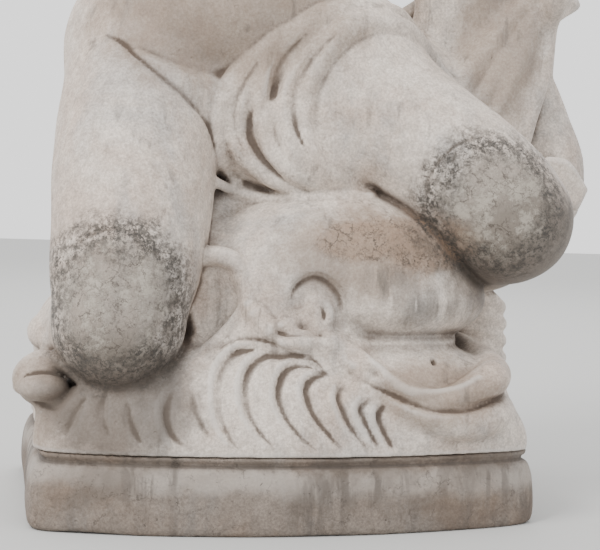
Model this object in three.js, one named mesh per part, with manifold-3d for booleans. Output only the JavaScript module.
// A marble boy riding astride a dolphin, carved from one block, on its own moulded plinth.
// Millimetres, +Z up, the front along -Y. The origin is the centre of the plinth's underside.
import * as THREE from "three";
import { mergeVertices } from "three/addons/utils/BufferGeometryUtils.js";
import Module from "manifold-3d";

const wasm = await Module();
wasm.setup();

// ---- Driving dimensions ----
const PLINTH = {
  halfWidth: 238,
  halfDepth: 174, // at the back, and at the middle of the bowed front
  bow: 39, // how far the front's middle stands ahead of its corners
  height: 70,
  squareness: 22, // exponent of the plan's superellipse: tight corners
};
const BEDDING = 0.3; // the open joint between the plinth and the carved block
const SMOOTHNESS = 1.6; // how much finer than the counts below each form is cut before the pieces are joined
const FACETS = { block: 8700, plinth: 1100 }; // what the joined skins are thinned to
const HEAD = { height: 200, at: [-14, 14, 838], tilt: 9, turn: 14 };
const MARBLE = { color: 0xc9c1b8, roughness: 0.75, metalness: 0 };
const PLINTH_MARBLE = { color: 0xb9b0a6, roughness: 0.78, metalness: 0 };

// ---- Forms: each returns one closed BufferGeometry ----

const vector = ([x, y, z]) => new THREE.Vector3(x, y, z);

// One shared corner wherever a stock form repeats it along its seam and poles.
function welded(geometry) {
  geometry.deleteAttribute("normal");
  geometry.deleteAttribute("uv");
  const merged = mergeVertices(geometry, 1e-4);
  const triangles = [];
  for (let i = 0; i < merged.index.count; i += 3) {
    const [a, b, c] = merged.index.array.slice(i, i + 3);
    if (a !== b && b !== c && c !== a) triangles.push(a, b, c);
  }
  return merged.setIndex(triangles);
}

const finer = (count) => Math.round(count * SMOOTHNESS);
const FRONT = [0, -1, 0];

// A capsule bent along stations [x, y, z, radius]. squeeze thins it along facing, for folds and fins.
function limb(stations, { sides = 7, steps, caps = 1, squeeze = 1, facing = FRONT } = {}) {
  const count = steps ?? stations.length;
  const path = new THREE.CatmullRomCurve3(stations.map(vector), false, "catmullrom");
  const girth = new THREE.CatmullRomCurve3(stations.map((s) => vector([s[3], 0, 0])), false, "catmullrom");
  const geometry = welded(new THREE.CapsuleGeometry(1, 1, finer(caps), finer(sides), finer(count)));
  const corner = geometry.attributes.position;
  for (let i = 0; i < corner.count; i++) {
    const [x, y, z] = [corner.getX(i), corner.getY(i), corner.getZ(i)];
    const t = THREE.MathUtils.clamp(y + 0.5, 0, 1);
    const past = y + 0.5 - t; // how far the corner lies in a round end
    const tangent = path.getTangent(t);
    const thin = vector(facing).addScaledVector(tangent, -vector(facing).dot(tangent)).normalize();
    const wide = new THREE.Vector3().crossVectors(thin, tangent);
    const radius = girth.getPoint(t).x;
    const place = path
      .getPoint(t)
      .addScaledVector(thin, x * radius * squeeze)
      .addScaledVector(wide, z * radius)
      .addScaledVector(tangent, past * radius);
    corner.setXYZ(i, place.x, place.y, place.z);
  }
  return geometry;
}

// An ellipsoid, turned by degrees about X, Y and Z.
function ball(centre, radii, turn = [0, 0, 0], detail = 10) {
  const turned = new THREE.Euler(...turn.map(THREE.MathUtils.degToRad));
  return welded(new THREE.SphereGeometry(1, finer(detail), finer(detail * 0.65)))
    .applyMatrix4(new THREE.Matrix4().makeScale(...radii))
    .applyMatrix4(new THREE.Matrix4().makeRotationFromEuler(turned))
    .translate(...centre);
}

// A solid of the plinth's bowed plan. Each profile point is [share of the plan, height].
function bowedBlock(profile, segments) {
  const turned = new THREE.LatheGeometry(profile.map(([share, z]) => new THREE.Vector2(share, z)), segments);
  const geometry = welded(turned.rotateX(Math.PI / 2));
  const corner = geometry.attributes.position;
  const power = PLINTH.squareness;
  for (let i = 0; i < corner.count; i++) {
    const [x, y, z] = [corner.getX(i), corner.getY(i), corner.getZ(i)];
    const share = Math.hypot(x, y);
    const reach = share > 0 ? (Math.abs(x) ** power + Math.abs(y) ** power) ** (-1 / power) : 0;
    const depth = PLINTH.halfDepth - (y < 0 ? PLINTH.bow * (x * reach) ** 2 : 0);
    corner.setXYZ(i, x * reach * share * PLINTH.halfWidth, y * reach * share * depth, z);
  }
  return geometry;
}

const placed = (forms, matrix) => forms.map((form) => form.applyMatrix4(matrix));

// Several limbs side by side: each one runs through the same share of every guide line [x, y, z, radius].
function spread(guides, count, options) {
  const lines = guides.map((stations) => [
    new THREE.CatmullRomCurve3(stations.map(vector)),
    new THREE.CatmullRomCurve3(stations.map((s) => vector([s[3], 0, 0]))),
  ]);
  return Array.from({ length: count }, (_, i) => {
    const share = count > 1 ? i / (count - 1) : 0;
    const stations = lines.map(([path, girth]) => [...path.getPoint(share), girth.getPoint(share).x]);
    return limb(stations, options);
  });
}

// ---- The rider ----

function torso() {
  const spine = [
    [-44, 46, 400, 130], [-40, 46, 440, 146], [-36, 42, 510, 122], [-30, 40, 580, 108], [-28, 42, 650, 112],
    [-26, 46, 690, 92], [-22, 42, 730, 48], [-18, 34, 770, 42],
  ];
  return [
    limb(spine, { sides: 14, steps: 11, caps: 2, squeeze: 0.62 }),
    limb([[-124, 46, 680, 42], [-26, 48, 696, 46], [74, 50, 680, 42]], { sides: 10, caps: 2 }),
    ball([-122, 48, 446], [84, 78, 90], [0, 0, 0], 12),
    ball([-60, -2, 484], [106, 78, 74], [0, 0, 0], 14),
    ball([-58, 2, 400], [96, 62, 44]),
    ball([-78, -14, 642], [52, 26, 36], [0, 0, 0], 8),
    ball([18, -12, 642], [52, 26, 36], [0, 0, 0], 8),
    ball([-92, 84, 402], [78, 62, 66]),
    ball([8, 84, 402], [78, 62, 66]),
  ];
}

function legs() {
  const thighs = { sides: 12, caps: 3, steps: 7 };
  const right = [
    [-116, 35, 430, 88], [-138, -16, 356, 79], [-146, -56, 292, 74],
    [-153, -82, 236, 70], [-158, -96, 200, 62], [-162, -104, 168, 46],
  ];
  const left = [
    [40, 25, 420, 86], [84, -16, 392, 77], [128, -50, 360, 68],
    [172, -80, 324, 65], [202, -94, 297, 62], [212, -98, 287, 58],
  ];
  const rightShin = [[-160, -80, 176, 52], [-180, -10, 162, 52], [-186, 50, 140, 44], [-184, 108, 118, 28]];
  const leftShin = [[206, -90, 282, 54], [212, -20, 262, 50], [206, 40, 246, 44], [196, 96, 232, 30]];
  return [
    limb(right, thighs),
    limb(left, thighs),
    ball([-158, -102, 182], [60, 54, 56]),
    limb(rightShin, { sides: 8 }),
    limb(leftShin, { sides: 8 }),
    ...foot([-186, 130, 112]),
    ...foot([192, 116, 230]),
  ];
}

// A foot stretched behind its shin: the sole, and five toes side by side.
function foot([x, y, z]) {
  const sole = limb([[x, y - 18, z, 24], [x, y + 10, z - 6, 25], [x, y + 26, z - 8, 21]], { sides: 6 });
  const toe = (place) => ball([x + place * 9, y + 42 - place, z - 10], [6, 9, 7], [0, 0, 0], 5);
  const toes = [-2, -1, 0, 1, 2].map(toe);
  return [sole, ...toes];
}

function arms() {
  const rightArm = [
    [-140, 44, 676, 46], [-168, 30, 612, 42], [-182, 8, 558, 37], [-150, -40, 564, 34], [-98, -70, 596, 24],
  ];
  const leftArm = [
    [86, 48, 676, 46], [148, 42, 634, 41], [204, 38, 594, 36], [248, 34, 568, 31], [284, 30, 548, 24],
  ];
  const arm = { sides: 9, caps: 2 };
  return [limb(rightArm, arm), limb(leftArm, arm), ...openHand(), ...gripHand()];
}

// The right hand lies on the breast, its fingers together.
function openHand() {
  const palm = ball([-78, -72, 606], [30, 15, 24], [0, 20, -28], 8);
  const knuckles = [[-64, -76, 594, 8], [-64, -76, 628, 7]];
  const joints = [[-42, -80, 600, 7.5], [-42, -80, 632, 7]];
  const tips = [[-24, -70, 604, 6], [-26, -70, 632, 6]];
  const thumb = limb([[-84, -78, 626, 9], [-76, -72, 648, 7.5]], { sides: 5 });
  return [palm, ...spread([knuckles, joints, tips], 4, { sides: 5, steps: 2 }), thumb];
}

// The left hand closes round the gathered cloth.
function gripHand() {
  const palm = ball([296, 28, 540], [24, 26, 28], [0, 0, 0], 8);
  const knuckles = [[310, 24, 558, 8], [310, 24, 522, 7]];
  const joints = [[308, 2, 556, 8], [308, 2, 520, 7]];
  const tips = [[288, -2, 554, 7], [288, -2, 518, 6]];
  return [palm, ...spread([knuckles, joints, tips], 4, { sides: 5, steps: 2 })];
}

// The head, in its own frame: +Z to the crown, -Y out of the face, sizes as shares of its height.
function head() {
  const share = (...values) => values.map((value) => value * HEAD.height);
  const nose = [share(0, -0.37, 0.05, 0.035), share(0, -0.43, -0.09, 0.035), share(0, -0.45, -0.14, 0.045)];
  const forms = [
    ball(share(0, 0.04, 0.11), share(0.37, 0.42, 0.38), [0, 0, 0], 12),
    ball(share(0, -0.09, -0.14), share(0.3, 0.31, 0.35), [0, 0, 0], 12),
    ball(share(0, -0.32, -0.41), share(0.1, 0.08, 0.07), [0, 0, 0], 6),
    limb(nose, { sides: 5 }),
    spreadLip(share(0.08, -0.36, -0.245, 0.015), share(0, -0.4, -0.24, 0.03)),
    spreadLip(share(0.06, -0.36, -0.285, 0.015), share(0, -0.395, -0.295, 0.035)),
  ];
  for (const side of [-1, 1]) {
    const across = (x, ...rest) => share(side * x, ...rest);
    const brow = [
      across(0.05, -0.35, 0.07, 0.03), across(0.14, -0.34, 0.1, 0.035), across(0.23, -0.27, 0.06, 0.025),
    ];
    forms.push(
      ball(across(0.155, -0.25, -0.19), share(0.125, 0.11, 0.12), [0, 0, 0], 7),
      ball(across(0.13, -0.31, -0.01), share(0.07, 0.05, 0.042), [0, 0, 0], 6),
      ball(across(0.045, -0.41, -0.145), share(0.03, 0.035, 0.025), [0, 0, 0], 5),
      ball(across(0.33, 0.03, -0.04), share(0.045, 0.075, 0.105), [0, 0, 0], 6),
      limb(brow, { sides: 5, steps: 2 }),
    );
  }
  return [...forms, ...hair()];
}

function spreadLip(corner, middle) {
  const [x, ...rest] = corner;
  return limb([[-x, ...rest], middle, corner], { sides: 5, steps: 2 });
}

// Rows of short comma-shaped locks over the skull, from the crown down to the nape.
function hair() {
  const rows = [
    { height: 90, reach: 20, count: 3, faceGap: 0 },
    { height: 66, reach: 56, count: 7, faceGap: 0 },
    { height: 26, reach: 75, count: 8, faceGap: 0.2 },
    { height: -18, reach: 72, count: 6, faceGap: 1.15 },
  ];
  return rows.flatMap(({ height, reach, count, faceGap }) => {
    const slot = (2 * Math.PI - 2 * faceGap) / count;
    return Array.from({ length: count }, (_, i) => {
      const angle = -Math.PI / 2 + faceGap + (i + 0.5) * slot;
      const at = (swing, out, rise, radius) => [
        Math.cos(angle + swing) * (reach + out),
        Math.sin(angle + swing) * (reach + out) * 1.12 + 8,
        height + rise,
        radius,
      ];
      return limb([at(-0.16, -3, 14, 12), at(0.14, 3, 2, 17), at(-0.1, 6, -18, 8)], { sides: 5, steps: 2 });
    });
  });
}

// ---- The cloth: round the hips, over the left thigh, and down from the left hand ----

// Over the root of the left thigh: a rolled edge, then broad folds that swing down and back to the hem.
function lapDrapery() {
  const edge = [
    [146, -6, 446, 10], [112, -46, 464, 11], [67, -66, 462, 11], [27, -69, 428, 10], [10, -69, 382, 9],
    [22, -78, 336, 8], [74, -88, 306, 6],
  ];
  const nextFold = [
    [119, -24, 478, 10], [79, -52, 472, 12], [35, -62, 448, 13], [3, -62, 408, 11], [-4, -66, 366, 10],
    [12, -76, 332, 9], [58, -84, 309, 6],
  ];
  const outer = [
    [100, -30, 486, 8], [55, -52, 472, 14], [12, -54, 452, 15], [-16, -52, 422, 13], [-32, -56, 376, 7],
  ];
  const inner = [
    [-14, -62, 388, 6], [-24, -60, 364, 8], [-16, -66, 342, 9], [4, -74, 324, 9], [36, -80, 310, 6],
  ];
  const left = [
    [20, -54, 466, 7], [-12, -58, 444, 9], [-46, -52, 396, 11], [-54, -42, 366, 10], [-40, -44, 337, 9],
    [6, -66, 308, 7],
  ];
  const border = [
    [-8, -58, 450, 7], [-36, -52, 430, 9], [-64, -52, 390, 10], [-72, -48, 356, 9], [-54, -34, 316, 8],
  ];
  const hem = [[-72, -34, 313, 6], [-36, -42, 302, 8], [4, -64, 301, 8], [74, -80, 305, 6]];
  const cloth = { sides: 10, caps: 2 };
  return [
    limb([[58, 46, 430, 74], [120, 48, 428, 56], [178, 44, 410, 40]], cloth),
    limb([[24, 14, 424, 70], [4, -10, 376, 60], [12, -34, 336, 42]], cloth),
    limb([[66, 0, 424, 76], [40, -4, 390, 70], [36, -30, 340, 50]], cloth),
    limb([[70, -16, 452, 26], [24, -28, 434, 34], [0, -36, 398, 34], [8, -42, 350, 30]], cloth),
    ...[edge, nextFold, left].map((fold) => limb(fold, { steps: 9 })),
    ...[outer, inner, border, hem].map((fold) => limb(fold, { steps: 6 })),
  ];
}

// From the left hand: four folds that fan out over a deep web of stone.
function hangingDrapery() {
  const folds = [
    [[284, 12, 534, 8], [252, 28, 502, 9], [214, 22, 452, 10], [188, 10, 412, 8]],
    [[290, 12, 526, 8], [262, 26, 488, 9], [228, 18, 434, 10], [212, 12, 408, 8]],
    [[294, 4, 522, 8], [267, 26, 477, 10], [248, 20, 440, 10], [218, 8, 384, 7]],
    [[298, 2, 526, 10], [284, 26, 476, 12], [275, 26, 419, 11], [262, 22, 366, 9]],
  ];
  const slab = { sides: 8, caps: 2, squeeze: 0.4 };
  return [
    limb([[292, 40, 536, 22], [272, 42, 490, 34], [248, 40, 440, 50], [214, 30, 380, 60]], slab),
    limb([[160, 60, 340, 54], [196, 66, 430, 58], [206, 60, 510, 54], [160, 54, 590, 38]], slab),
    limb([[264, 70, 300, 50], [264, 72, 390, 50], [276, 60, 480, 36]], slab),
    ...folds.map((fold) => limb(fold, { sides: 6, steps: 4 })),
  ];
}

// Behind, the cloth sweeps round the hips from the right flank up to the left arm.
function backDrapery() {
  const flank = [[-160, 104, 410, 9], [-144, 82, 326, 8]];
  const hip = [[-90, 142, 420, 12], [-70, 124, 314, 11]];
  const waist = [[30, 134, 442, 13], [44, 112, 324, 11]];
  const side = [[140, 94, 486, 11], [144, 82, 362, 10]];
  const arm = [[226, 70, 556, 9], [216, 86, 420, 9]];
  const backing = [[-104, 92, 366, 56], [-60, 100, 372, 62], [20, 102, 388, 62], [150, 80, 432, 52]];
  return [
    limb(backing, { sides: 10, caps: 2 }),
    ...spread([flank, hip, waist, side, arm], 5, { sides: 6, steps: 6, facing: [0, 1, 0] }),
  ];
}

// ---- The dolphin ----

function dolphinHead() {
  const tearKnob = [[-41, -116, 199, 10], [-33, -118, 190, 8], [-26, -122, 184, 10]];
  const cheekRoll = [[-16, -122, 180, 6], [-2, -121, 187, 9], [16, -120, 185, 8], [30, -119, 178, 6]];
  const lowRoll = [[-12, -130, 170, 5], [6, -130, 171, 8], [24, -126, 172, 8], [40, -118, 166, 6]];
  return [
    ball([64, -20, 238], [143, 108, 76], [0, 0, 0], 18),
    ball([96, -56, 206], [104, 76, 44], [0, 0, 0], 14),
    ball([-10, -32, 204], [90, 92, 68], [0, 0, 0], 12),
    ball([-4, -52, 170], [84, 80, 36]),
    ball([110, -84, 136], [92, 60, 32], [0, 4, 0], 12),
    ball([-90, 0, 220], [60, 80, 80]),
    ...[tearKnob, cheekRoll, lowRoll].map((roll) => limb(roll)),
  ];
}

// The beak: a thick upper lip over a thicker lower one, parted from the corner to the tip.
function dolphinBeak() {
  const upper = [
    [48, -136, 151, 8], [76, -145, 139, 9], [100, -150, 128, 10], [125, -152, 121, 10], [148, -152, 124, 12],
    [168, -146, 132, 15], [185, -136, 138, 17],
  ];
  const lower = [
    [42, -134, 147, 6], [72, -144, 128, 9], [102, -152, 114, 12], [130, -154, 103, 15], [156, -152, 100, 17],
    [180, -142, 103, 17], [194, -124, 107, 17],
  ];
  const upperFar = [[185, -136, 138, 17], [195, -100, 140, 18], [194, -62, 144, 20], [176, -20, 150, 24]];
  const lowerFar = [[194, -124, 107, 17], [203, -92, 108, 17], [198, -46, 112, 22], [180, -4, 114, 26]];
  return [
    limb(upper, { steps: 9 }), limb(lower, { steps: 9 }), limb(upperFar), limb(lowerFar),
    ball([124, -74, 118], [84, 64, 34]),
  ];
}

// The ear behind the cheek: a rolled rim round a shallow cup.
function dolphinEar() {
  const rim = [
    [-98, -88, 240, 7], [-76, -96, 245, 8], [-56, -100, 242, 7], [-44, -103, 229, 6],
    [-42, -105, 212, 5], [-49, -107, 194, 5], [-62, -108, 177, 5], [-80, -110, 160, 6],
  ];
  return [limb(rim), ball([-68, -66, 206], [38, 32, 46], [0, -16, 0])];
}

// What the carver cut back into the head: the cup of the ear, and the socket with its eye left standing.
function dolphinHollows() {
  const socket = solidOf(ball([19, -126, 203], [22, 12, 24], [0, -10, 0]));
  const eye = solidOf(ball([19, -116, 195], [14, 12, 19], [0, -8, 0]));
  return [solidOf(ball([-80, -106, 202], [31, 20, 40], [0, -12, 0])), socket.subtract(eye)];
}

// The frill of crescent rays under the jaw, each one shorter than the last towards the beak.
function frill() {
  const crescents = [
    [[-4, -132, 161, 5], [-36, -127, 166, 6], [-66, -124, 164, 6], [-81, -141, 130, 7], [-72, -160, 90, 6]],
    [[16, -139, 149, 5], [-8, -131, 161, 6], [-44, -129, 159, 6], [-57, -146, 126, 7], [-40, -161, 90, 6]],
    [[20, -141, 145, 5], [-2, -136, 154, 6], [-22, -143, 145, 6], [-26, -152, 119, 7], [-6, -161, 90, 6]],
    [[20, -138, 147, 6], [3, -145, 141, 6], [0, -153, 120, 7], [9, -158, 102, 7], [30, -164, 81, 5]],
    [[33, -146, 136, 5], [29, -152, 120, 6], [35, -157, 103, 6], [54, -162, 81, 5]],
    [[58, -149, 125, 5], [50, -155, 112, 5], [54, -158, 98, 5], [64, -162, 81, 4]],
    [[71, -151, 119, 5], [66, -156, 107, 5], [70, -158, 93, 5], [78, -161, 81, 4]],
  ];
  const pleats = [
    [[-185, -126, 124, 5], [-197, -131, 104, 7], [-201, -135, 84, 6]],
    [[-164, -130, 124, 6], [-164, -140, 104, 8], [-156, -148, 80, 6]],
    [[-140, -132, 126, 6], [-140, -144, 104, 8], [-132, -154, 78, 6]],
    [[-106, -134, 132, 7], [-106, -148, 108, 9], [-92, -158, 80, 7]],
  ];
  const bolster = [
    [-100, -84, 112, 40], [-60, -94, 122, 46], [0, -104, 122, 46], [50, -106, 106, 44], [96, -106, 92, 34],
  ];
  const behind = [[176, -128, 116, 9], [212, -84, 116, 9]];
  const beside = [[190, -134, 96, 10], [216, -90, 96, 10]];
  const under = [[208, -130, 76, 8], [220, -84, 76, 8]];
  return [
    limb(bolster, { sides: 10, caps: 2 }),
    ...crescents.map((ray) => limb(ray, { sides: 5, steps: 6 })),
    ...pleats.map((pleat) => limb(pleat, { sides: 5, steps: 3 })),
    ...spread([behind, beside, under], 3, { sides: 6, steps: 3 }),
  ];
}

// The fin on the far side of the head, a plate with scalloped rays.
function farFin() {
  const root = [[192, 8, 212, 10], [192, 8, 124, 10]];
  const middle = [[220, 2, 206, 12], [226, 2, 118, 12]];
  const tip = [[240, 4, 194, 9], [246, 4, 106, 9]];
  const plate = limb([[206, 14, 212, 22], [214, 12, 170, 28], [222, 10, 118, 26]], { squeeze: 0.5 });
  return [plate, ...spread([root, middle, tip], 5, { sides: 6, steps: 2 })];
}

// The body runs back under the rider, out to the left side and up into the tail.
function dolphinBody() {
  const body = [
    [40, 40, 220, 100], [90, 100, 222, 78], [160, 98, 240, 62], [232, 86, 266, 54],
    [292, 76, 304, 54], [308, 74, 340, 45], [300, 76, 386, 36], [284, 80, 440, 28], [280, 82, 488, 18],
  ];
  const nearLobe = [[282, 80, 478, 14], [262, 92, 512, 20], [226, 104, 528, 8]];
  const farLobe = [[282, 80, 478, 14], [310, 86, 512, 20], [344, 92, 520, 8]];
  const finRoot = [[294, 22, 346, 6], [296, 22, 318, 6]];
  const finRib = [[312, 16, 342, 6.5], [310, 16, 310, 6]];
  const finTip = [[334, 20, 318, 4], [326, 20, 300, 4]];
  return [
    limb(body, { sides: 12, steps: 11 }),
    limb(nearLobe, { squeeze: 0.5 }),
    limb(farLobe, { squeeze: 0.5 }),
    ...spread([finRoot, finRib, finTip], 4, { sides: 5, steps: 2 }),
  ];
}

// ---- The ground of the block: an apron that flares to the plinth, and waves behind ----

function ground() {
  const floor = PLINTH.height + BEDDING;
  const apron = [
    [0, floor], [0.965, floor], [0.962, 84], [0.93, 102], [0.87, 118], [0.79, 132], [0.7, 145], [0.56, 157],
    [0.34, 168], [0, 172],
  ];
  const crests = [
    [[-206, 150, 100, 18], [164, 150, 100, 18]],
    [[-180, 152, 132, 20], [190, 150, 132, 20]],
    [[-150, 148, 120, 15], [210, 146, 120, 15]],
    [[-150, 150, 104, 9], [204, 148, 104, 9]],
  ];
  return [
    bowedBlock(apron, 40),
    ...spread(crests, 6, { sides: 6, steps: 4 }),
    ball([30, 60, 180], [176, 90, 90], [0, 0, 0], 12),
    ball([-10, 40, 290], [130, 84, 96], [0, 0, 0], 12),
  ];
}

// At the left corner two rolls of water curl over one another under the calf.
function scrolls() {
  const calf = [[-216, -6, 164, 20], [-222, -28, 164, 17], [-216, -50, 158, 12]];
  const underRoll = [[-226, -60, 132, 20], [-228, -96, 126, 20]];
  const band = [
    [-246, -90, 122, 7], [-244, -92, 134, 8], [-234, -94, 144, 9], [-220, -98, 147, 9], [-204, -104, 142, 8],
    [-192, -112, 130, 6],
  ];
  const corner = [[-219, -106, 64, 14], [-219, -106, 116, 13]];
  return [limb(calf), limb(underRoll), limb(band), limb(corner), ball([-225, -104, 124], [22, 24, 14])];
}

// ---- From forms to solids ----

function solidOf(form) {
  const vertProperties = Float32Array.from(form.attributes.position.array);
  const triVerts = Uint32Array.from(form.index.array);
  return new wasm.Manifold(new wasm.Mesh({ numProp: 3, vertProperties, triVerts }));
}

// Forms that close round a hollow leave an inner skin. Stone is solid, so only the outermost skin is kept.
function outerSkin({ vertProperties, triVerts }) {
  const skinOf = Array.from({ length: vertProperties.length / 3 }, (_, corner) => corner);
  const find = (corner) => {
    while (skinOf[corner] !== corner) corner = skinOf[corner] = skinOf[skinOf[corner]];
    return corner;
  };
  for (let i = 0; i < triVerts.length; i += 3) {
    skinOf[find(triVerts[i])] = find(triVerts[i + 1]);
    skinOf[find(triVerts[i + 2])] = find(triVerts[i + 1]);
  }
  const height = (corner) => vertProperties[3 * corner + 2];
  const lower = (lowest, _, corner) => (height(corner) < height(lowest) ? corner : lowest);
  const outermost = find(skinOf.reduce(lower, 0));
  const corners = skinOf.map((_, corner) => new THREE.Vector3().fromArray(vertProperties, 3 * corner));
  const faces = [];
  for (let i = 0; i < triVerts.length; i += 3) {
    if (find(triVerts[i]) === outermost) faces.push([...triVerts.slice(i, i + 3)]);
  }
  return { corners, faces };
}

// ---- Facets: a joined skin is thinned to a budget, least telling edges first ----

const normalOf = (a, b, c) => new THREE.Triangle(a, b, c).getNormal(new THREE.Vector3());

// The squared distance to a facet's plane as a symmetric matrix, kept as its ten distinct numbers.
function planeQuadric(a, b, c) {
  const { x, y, z } = normalOf(a, b, c);
  const w = -(x * a.x + y * a.y + z * a.z);
  const weight = Math.sqrt(new THREE.Triangle(a, b, c).getArea());
  return [x * x, x * y, x * z, x * w, y * y, y * z, y * w, z * z, z * w, w * w].map((term) => term * weight);
}

function quadricError([xx, xy, xz, xw, yy, yz, yw, zz, zw, ww], { x, y, z }) {
  const squares = xx * x * x + yy * y * y + zz * z * z + ww;
  return squares + 2 * (xy * x * y + xz * x * z + yz * y * z + xw * x + yw * y + zw * z);
}

function thinned({ corners, faces }, budget) {
  const star = corners.map(() => new Set());
  faces.forEach((face, index) => face.forEach((corner) => star[corner].add(index)));
  const quadric = corners.map(() => new Array(10).fill(0));
  for (const face of faces) {
    const plane = planeQuadric(...face.map((corner) => corners[corner]));
    for (const corner of face) quadric[corner] = quadric[corner].map((term, i) => term + plane[i]);
  }
  const around = (corner) => new Set([...star[corner]].flatMap((index) => faces[index]));
  let count = faces.length;

  const bestMerge = (u, v) => {
    const sum = quadric[u].map((term, i) => term + quadric[v][i]);
    const places = [corners[u], corners[v], corners[u].clone().lerp(corners[v], 0.5)];
    const errors = places.map((place) => quadricError(sum, place));
    const least = errors.indexOf(Math.min(...errors));
    return { u, v, sum, place: places[least], error: errors[least] };
  };

  // A facet that would turn over or close up forbids the merge.
  const staysOpen = (moved, other, place) =>
    [...star[moved]].every((index) => {
      const face = faces[index];
      if (face.includes(other)) return true;
      const before = face.map((corner) => corners[corner]);
      const after = face.map((corner) => (corner === moved ? place : corners[corner]));
      const turned = normalOf(...before).dot(normalOf(...after)) < 0.5;
      return !turned && new THREE.Triangle(...after).getArea() > 0.5;
    });

  while (count > budget) {
    const edges = [];
    faces.forEach((face) => face?.forEach((u, i) => {
      const v = face[(i + 1) % 3];
      if (u < v) edges.push(bestMerge(u, v));
    }));
    edges.sort((first, second) => first.error - second.error);
    const touched = new Set();
    const before = count;
    for (const { u, v, sum, place } of edges.slice(0, Math.ceil(edges.length / 4))) {
      if (count <= budget) break;
      if (touched.has(u) || touched.has(v)) continue;
      const shared = [...around(u)].filter((corner) => corner !== u && corner !== v && around(v).has(corner));
      if (shared.length !== 2 || !staysOpen(u, v, place) || !staysOpen(v, u, place)) continue;
      for (const index of [...star[u]]) {
        if (faces[index].includes(v)) {
          faces[index].forEach((corner) => star[corner].delete(index));
          faces[index] = undefined;
          count--;
        } else {
          faces[index] = faces[index].map((corner) => (corner === u ? v : corner));
          star[v].add(index);
        }
      }
      star[u].clear();
      corners[v] = place;
      quadric[v] = sum;
      around(v).forEach((corner) => touched.add(corner));
    }
    if (count === before) break;
  }
  return { corners, faces: faces.filter(Boolean) };
}

function meshOf(solid, name, material, budget) {
  const { corners, faces } = thinned(outerSkin(solid.getMesh()), budget);
  const geometry = new THREE.BufferGeometry();
  const positions = faces.flat().flatMap((corner) => [...corners[corner]]);
  geometry.setAttribute("position", new THREE.Float32BufferAttribute(positions, 3));
  geometry.computeVertexNormals();
  const mesh = new THREE.Mesh(geometry, new THREE.MeshStandardMaterial(material));
  mesh.name = name;
  return mesh;
}

function headMatrix() {
  const turn = new THREE.Euler(
    THREE.MathUtils.degToRad(HEAD.tilt), 0, THREE.MathUtils.degToRad(HEAD.turn), "ZXY",
  );
  return new THREE.Matrix4().makeRotationFromEuler(turn).setPosition(...HEAD.at);
}

function carvedGroup() {
  const forms = [
    ...torso(), ...legs(), ...arms(), ...placed(head(), headMatrix()),
    ...lapDrapery(), ...hangingDrapery(), ...backDrapery(),
    ...dolphinHead(), ...dolphinBeak(), ...dolphinEar(), ...frill(), ...farFin(), ...dolphinBody(),
    ...ground(), ...scrolls(),
  ];
  const ridges = forms.map(solidOf).reduce((whole, piece) => whole.add(piece));
  const joined = dolphinHollows().reduce((whole, hollow) => whole.subtract(hollow), ridges);
  const floor = PLINTH.height + BEDDING;
  const below = welded(new THREE.BoxGeometry(2000, 2000, 1000)).translate(0, 0, floor - 500);
  return joined.subtract(solidOf(below));
}

function plinth() {
  const { height } = PLINTH;
  const profile = [
    [0, 0], [0.978, 0], [0.994, 4], [1, 14], [0.998, 27], [0.99, 44], [0.976, 54], [0.964, 58], [0.945, 60],
    [0.943, 64], [0.958, 66], [0.962, height], [0, height],
  ];
  return solidOf(bowedBlock(profile, 48));
}

const statue = new THREE.Group();
statue.add(meshOf(carvedGroup(), "boy_on_dolphin", MARBLE, FACETS.block));
statue.add(meshOf(plinth(), "plinth", PLINTH_MARBLE, FACETS.plinth));

export default statue;
